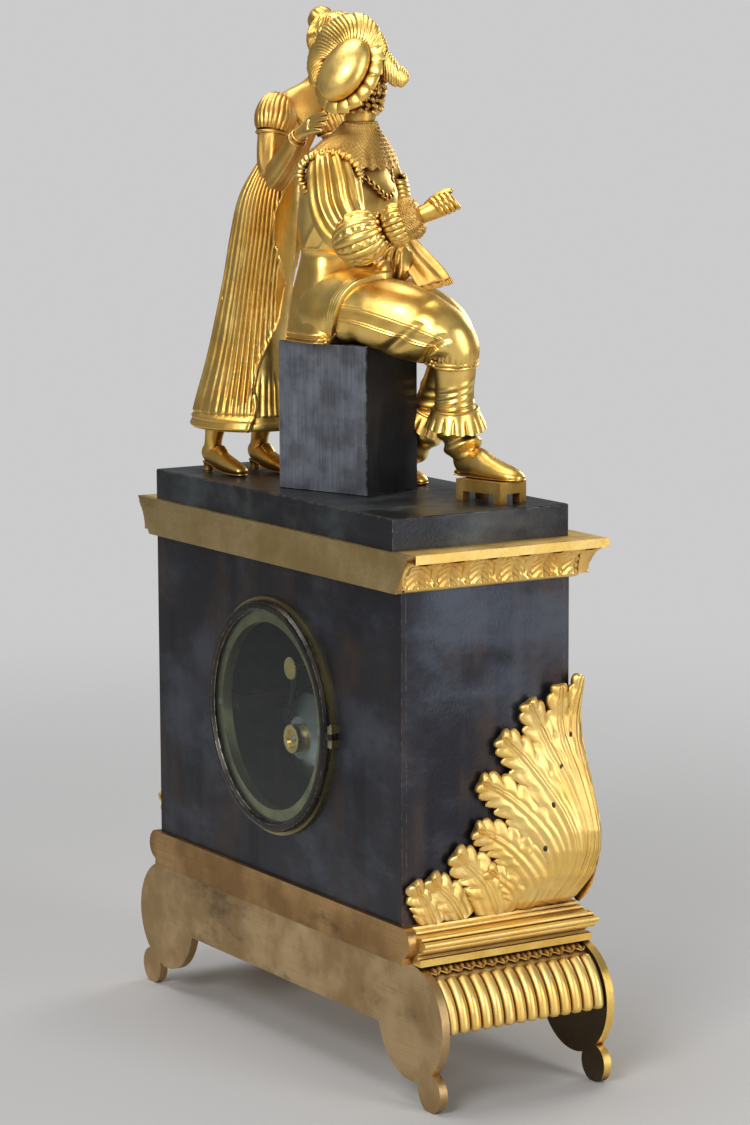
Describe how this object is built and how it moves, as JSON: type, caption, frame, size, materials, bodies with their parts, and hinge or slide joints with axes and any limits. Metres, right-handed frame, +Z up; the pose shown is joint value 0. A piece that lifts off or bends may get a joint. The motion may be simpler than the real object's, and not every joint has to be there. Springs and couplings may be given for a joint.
{
  "type": "figural mantel clock",
  "caption": "Bronze mantel clock with scroll feet, a rectangular case with a round movement, and a seated man and a standing woman on top.",
  "frame": {"origin": "bottom centre of the whole clock's box, on the surface that it stands on", "axes": "+Z up, -Y towards the dial, +Y towards the rear door, +X to the right seen from the dial"},
  "size_m": [0.346, 0.133, 0.6007],
  "materials": {
    "gilt_bronze": "burnished gilt bronze with dark recesses",
    "aged_brass": "aged lacquered brass, brushed",
    "patinated_bronze": "dark patinated bronze, satin",
    "brass": "polished, slightly tarnished",
    "steel": "brushed",
    "blued_steel": "blued",
    "glass": "clear",
    "enamel": "glossy white enamel"
  },
  "bodies": {
    "clock": {"acanthus_leaf_left": "gilt_bronze", "acanthus_leaf_right": "gilt_bronze", "back_movement_plate": "brass", "base_deck": "gilt_bronze", "base_front_plate": "gilt_bronze", "base_moulding": "gilt_bronze", "base_rear_plate": "aged_brass", "base_rear_strip": "aged_brass", "bell": "steel", "bell_nut": "brass", "bell_post": "steel", "case_front_panel": "patinated_bronze", "case_rear_panel": "patinated_bronze", "case_side_left": "patinated_bronze", "case_side_right": "patinated_bronze", "cornice_moulding": "gilt_bronze", "cornice_rear_strip": "aged_brass", "dial": "enamel", "footstool": "gilt_bronze", "front_hinge_pin": "steel", "front_movement_plate": "brass", "front_seat_ring": "brass", "gadroon_panel_left": "gilt_bronze", "gadroon_panel_right": "gilt_bronze", "lady_arm_left": "gilt_bronze", "lady_arm_right": "gilt_bronze", "lady_bodice": "gilt_bronze", "lady_gown": "gilt_bronze", "lady_head": "gilt_bronze", "lady_shoes": "gilt_bronze", "man_arm_left": "gilt_bronze", "man_arm_right": "gilt_bronze", "man_beret": "gilt_bronze", "man_cloak_end": "gilt_bronze", "man_doublet": "gilt_bronze", "man_head": "gilt_bronze", "man_leg_left": "gilt_bronze", "man_leg_right": "gilt_bronze", "man_plume": "gilt_bronze", "movement_pillars": "brass", "movement_straps": "brass", "plinth_slab": "patinated_bronze", "rear_hinge_pin": "steel", "rear_seat_ring": "brass", "seat_block": "patinated_bronze", "strap_screws": "steel", "suspension_cock": "brass"},
    "rear_door": {"rear_door_ring": "patinated_bronze", "rear_door_glass": "glass"},
    "bezel": {"front_bezel": "brass", "front_glass": "glass"},
    "minute_hand": {"minute_hand": "blued_steel"},
    "hour_hand": {"hour_hand": "blued_steel"},
    "minute_wheel": {"minute_wheel": "brass"},
    "going_barrel": {"going_barrel": "brass"},
    "strike_barrel": {"strike_barrel": "brass"},
    "count_wheel": {"count_wheel": "brass"},
    "regulator": {"regulator_spindle": "brass"},
    "pendulum": {"pendulum": "brass"},
    "hammer": {"strike_hammer": "steel"}
  },
  "joints": [
    {"name": "rear_door_hinge", "type": "hinge", "parent": "clock", "child": "rear_door", "pos_m": [-0.0709, 0.0643, 0.1945], "axis": [0, 0, 1], "range_deg": [0, 100]},
    {"name": "bezel_hinge", "type": "hinge", "parent": "clock", "child": "bezel", "pos_m": [-0.0639, -0.0551, 0.1945], "axis": [0, 0, -1], "range_deg": [0, 100]},
    {"name": "minute_turn", "type": "hinge", "parent": "clock", "child": "minute_hand", "pos_m": [0, -0.045, 0.1945], "axis": [0, 1, 0], "continuous": true},
    {"name": "hour_turn", "type": "hinge", "parent": "clock", "child": "hour_hand", "pos_m": [0, -0.047, 0.1945], "axis": [0, 1, 0], "continuous": true},
    {"name": "minute_wheel_turn", "type": "hinge", "parent": "clock", "child": "minute_wheel", "pos_m": [0, -0.045, 0.2106], "axis": [0, 1, 0], "continuous": true},
    {"name": "going_winding", "type": "hinge", "parent": "clock", "child": "going_barrel", "pos_m": [0.017, -0.025, 0.1825], "axis": [0, 1, 0], "continuous": true},
    {"name": "strike_winding", "type": "hinge", "parent": "clock", "child": "strike_barrel", "pos_m": [-0.017, -0.025, 0.1825], "axis": [0, 1, 0], "continuous": true},
    {"name": "count_wheel_turn", "type": "hinge", "parent": "clock", "child": "count_wheel", "pos_m": [-0.019, 0.001, 0.2055], "axis": [0, 1, 0], "continuous": true},
    {"name": "regulator_turn", "type": "hinge", "parent": "clock", "child": "regulator", "pos_m": [0, 0.025, 0.221], "axis": [0, 1, 0], "continuous": true},
    {"name": "pendulum_swing", "type": "hinge", "parent": "clock", "child": "pendulum", "pos_m": [0, 0.008, 0.221], "axis": [0, 1, 0], "range_deg": [-3, 3]},
    {"name": "hammer_lift", "type": "hinge", "parent": "clock", "child": "hammer", "pos_m": [0.03, 0.025, 0.215], "axis": [0, 1, 0], "range_deg": [-8, 0], "stiffness_Nm_per_rad": 0.03, "springref_deg": 6.88}
  ],
  "couplings": [
    {"joint": "hour_turn", "follows": "minute_turn", "ratio": 0.083333},
    {"joint": "minute_wheel_turn", "follows": "minute_turn", "ratio": -0.33333}
  ]
}
